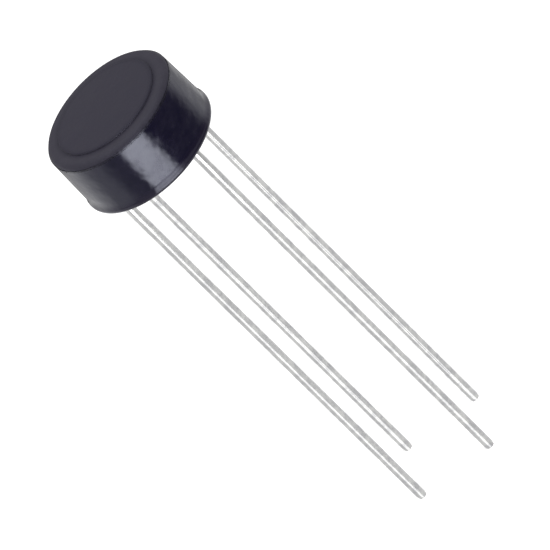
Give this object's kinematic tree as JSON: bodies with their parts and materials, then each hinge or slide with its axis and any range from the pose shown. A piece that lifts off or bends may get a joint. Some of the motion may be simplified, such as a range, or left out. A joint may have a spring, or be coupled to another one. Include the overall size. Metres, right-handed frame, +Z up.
{
  "type": "round bridge rectifier",
  "caption": "Round single-phase bridge rectifier: black drafted resin-filled cup with a flared rim, a raised disc on its flat top, and long straight tinned wire leads on a square pitch.",
  "frame": {"origin": "centre of the seating plane, which is the flat rim of the cup on the lead side", "axes": "+Z up the body's axis, away from the board; the leads hang along -Z; X and Y are the sides of the square lead pattern, with the positive lead at +X+Y"},
  "size_m": [0.0092, 0.0092, 0.0327],
  "materials": {
    "moulded_case": "glossy drafted side, satin flat top",
    "potting_resin": "poured, glossy",
    "tinned_wire": "bright tin plate on copper",
    "silicon": "dark grey silicon with glass-covered edges",
    "solder": "satin grey solder"
  },
  "bodies": {
    "root": {"case_shell": "moulded_case", "resin_fill": "potting_resin", "lead_positive": "tinned_wire", "lead_negative": "tinned_wire", "lead_ac_1": "tinned_wire", "lead_ac_2": "tinned_wire", "die_1": "silicon", "die_2": "silicon", "die_3": "silicon", "die_4": "silicon", "solder_anode_1": "solder", "solder_anode_2": "solder", "solder_anode_3": "solder", "solder_anode_4": "solder", "solder_cathode_1": "solder", "solder_cathode_2": "solder", "solder_cathode_3": "solder", "solder_cathode_4": "solder"}
  },
  "joints": []
}
